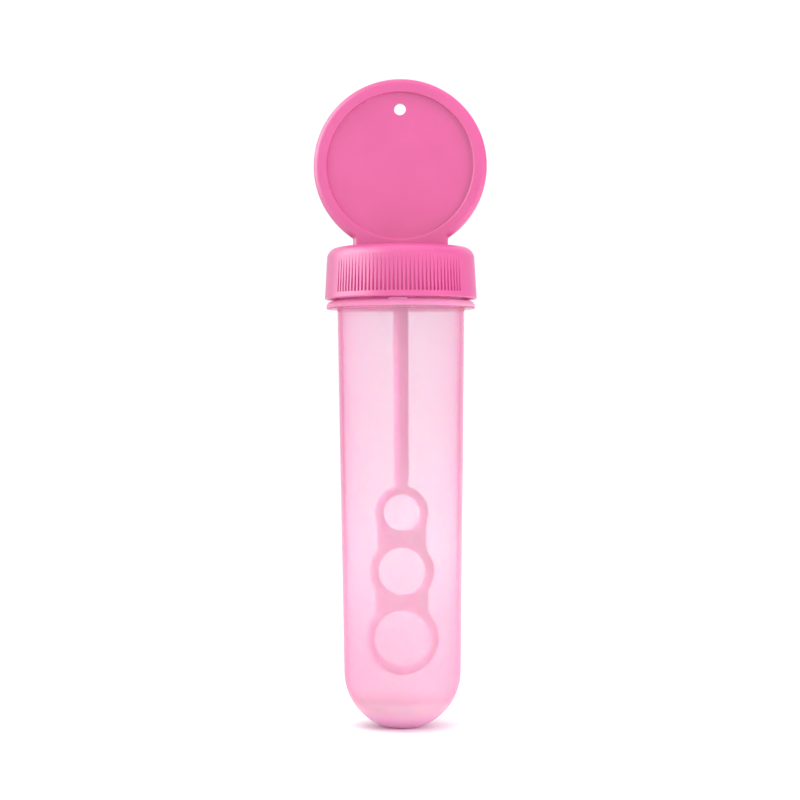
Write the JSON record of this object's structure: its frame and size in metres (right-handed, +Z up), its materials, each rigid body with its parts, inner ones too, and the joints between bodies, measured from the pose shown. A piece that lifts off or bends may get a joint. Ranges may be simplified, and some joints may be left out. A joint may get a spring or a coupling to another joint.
{
  "type": "bubble wand",
  "caption": "Round-ended translucent bubble tube with a grooved screw cap, a flat disc grip with a hang hole, and a ringed wand that hangs from the cap.",
  "frame": {"origin": "centre of the standing flat under the tube", "axes": "+Z up the tube's axis towards the cap, +X to the right of the picture, -Y towards the camera, out of the disc's front face"},
  "size_m": [0.039, 0.0342, 0.146],
  "materials": {
    "tube": "translucent satin polypropylene",
    "cap": "satin polypropylene",
    "wand": "satin polypropylene",
    "liner": "matt closed-cell foam"
  },
  "bodies": {
    "tube": {"tube": "tube"},
    "liner": {"cap_liner": "liner"},
    "wand": {"wand": "wand"},
    "cap": {"screw_cap": "cap"}
  },
  "joints": [
    {"name": "cap_lift_off", "type": "slide", "parent": "tube", "child": "liner", "axis": [0, 0, 1], "range_m": [0, 0.1]},
    {"name": "cap_rise", "type": "slide", "parent": "liner", "child": "wand", "axis": [0, 0, 1], "range_m": [0, 0.0045]},
    {"name": "cap_unscrew", "type": "hinge", "parent": "wand", "child": "cap", "pos_m": [0, 0, 0.1], "axis": [0, 0, 1], "range_deg": [0, 540]}
  ],
  "couplings": [
    {"joint": "cap_unscrew", "follows": "cap_rise", "rad_per_m": 2094.4}
  ]
}
